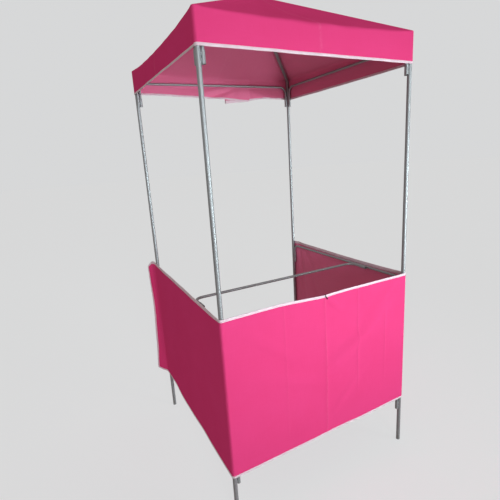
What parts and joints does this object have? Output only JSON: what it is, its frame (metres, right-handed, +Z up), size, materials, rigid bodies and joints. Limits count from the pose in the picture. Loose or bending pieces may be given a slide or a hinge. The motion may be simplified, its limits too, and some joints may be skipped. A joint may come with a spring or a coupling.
{
  "type": "tube-frame market stall",
  "caption": "Small knock-down market stall: a plugged tube frame with a pyramid cloth canopy, a cloth counter skirt and an open back.",
  "frame": {"origin": "on the floor, at the middle of the footprint", "axes": "+X along the front to the seller's left, +Y from the front to the open back, +Z up"},
  "size_m": [1.034, 1.0722, 2.3],
  "materials": {
    "galvanised_tube": "zinc-coated, satin",
    "pink_cloth": "coated polyester, matt",
    "white_tape": "woven binding",
    "black_cord": "woven cord"
  },
  "bodies": {
    "root": {"post_front_left": "galvanised_tube", "post_front_right": "galvanised_tube", "post_back_left": "galvanised_tube", "post_back_right": "galvanised_tube", "rafter_front_left": "galvanised_tube", "rafter_front_right": "galvanised_tube", "rafter_back_left": "galvanised_tube", "rafter_back_right": "galvanised_tube", "roof_hub": "galvanised_tube", "eave_sockets": "galvanised_tube", "counter_rail_sockets": "galvanised_tube", "lower_rail_sockets": "galvanised_tube", "cross_bar_sockets": "galvanised_tube", "counter_cross_bar": "galvanised_tube", "eave_bar_front": "galvanised_tube", "eave_bar_back": "galvanised_tube", "eave_bar_left": "galvanised_tube", "eave_bar_right": "galvanised_tube", "counter_rail_front": "galvanised_tube", "counter_rail_left": "galvanised_tube", "counter_rail_right": "galvanised_tube", "lower_rail_front": "galvanised_tube", "lower_rail_left": "galvanised_tube", "lower_rail_right": "galvanised_tube", "roof_panel_front": "pink_cloth", "roof_panel_back": "pink_cloth", "roof_panel_left": "pink_cloth", "roof_panel_right": "pink_cloth", "valance_front": "pink_cloth", "valance_back": "pink_cloth", "valance_left": "pink_cloth", "valance_right": "pink_cloth", "skirt_front": "pink_cloth", "skirt_left": "pink_cloth", "skirt_right": "pink_cloth", "valance_tape_front": "white_tape", "valance_tape_back": "white_tape", "valance_tape_left": "white_tape", "valance_tape_right": "white_tape", "skirt_tape_front": "white_tape", "skirt_tape_left": "white_tape", "skirt_tape_right": "white_tape", "front_tie": "black_cord"}
  },
  "joints": []
}
